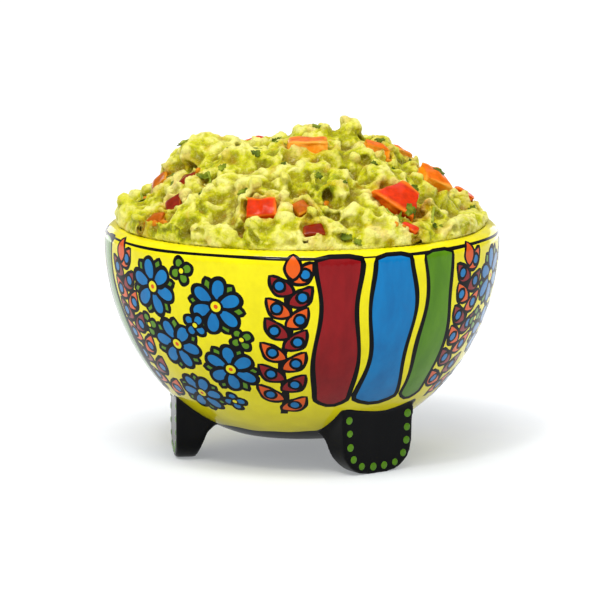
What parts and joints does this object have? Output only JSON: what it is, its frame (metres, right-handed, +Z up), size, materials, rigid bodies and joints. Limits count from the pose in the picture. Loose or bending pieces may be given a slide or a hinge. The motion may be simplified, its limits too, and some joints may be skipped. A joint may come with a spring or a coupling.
{
  "type": "guacamole in a footed bowl",
  "caption": "Chunky guacamole with diced tomato and coriander heaped in a round glazed pottery bowl that stands on slab feet.",
  "frame": {"origin": "on the table, under the middle of the bowl", "axes": "+Z up along the bowl's axis, -Y towards the side that the picture shows"},
  "size_m": [0.14, 0.14, 0.1204],
  "materials": {
    "glazed_pottery": "glossy painted glaze: yellow with blue, green, red and orange painting, and black inside, underneath and on the feet",
    "mashed_avocado": "moist, with flecks of coriander leaf",
    "tomato": "moist"
  },
  "bodies": {
    "root": {"bowl": "glazed_pottery", "guacamole": "mashed_avocado", "tomato_01": "tomato", "tomato_02": "tomato", "tomato_03": "tomato", "tomato_04": "tomato", "tomato_05": "tomato", "tomato_06": "tomato", "tomato_07": "tomato", "tomato_08": "tomato", "tomato_09": "tomato", "tomato_10": "tomato", "tomato_11": "tomato", "tomato_12": "tomato", "tomato_13": "tomato", "tomato_14": "tomato", "tomato_15": "tomato", "tomato_16": "tomato", "tomato_17": "tomato", "tomato_18": "tomato", "tomato_19": "tomato", "tomato_20": "tomato", "tomato_21": "tomato"}
  },
  "joints": []
}
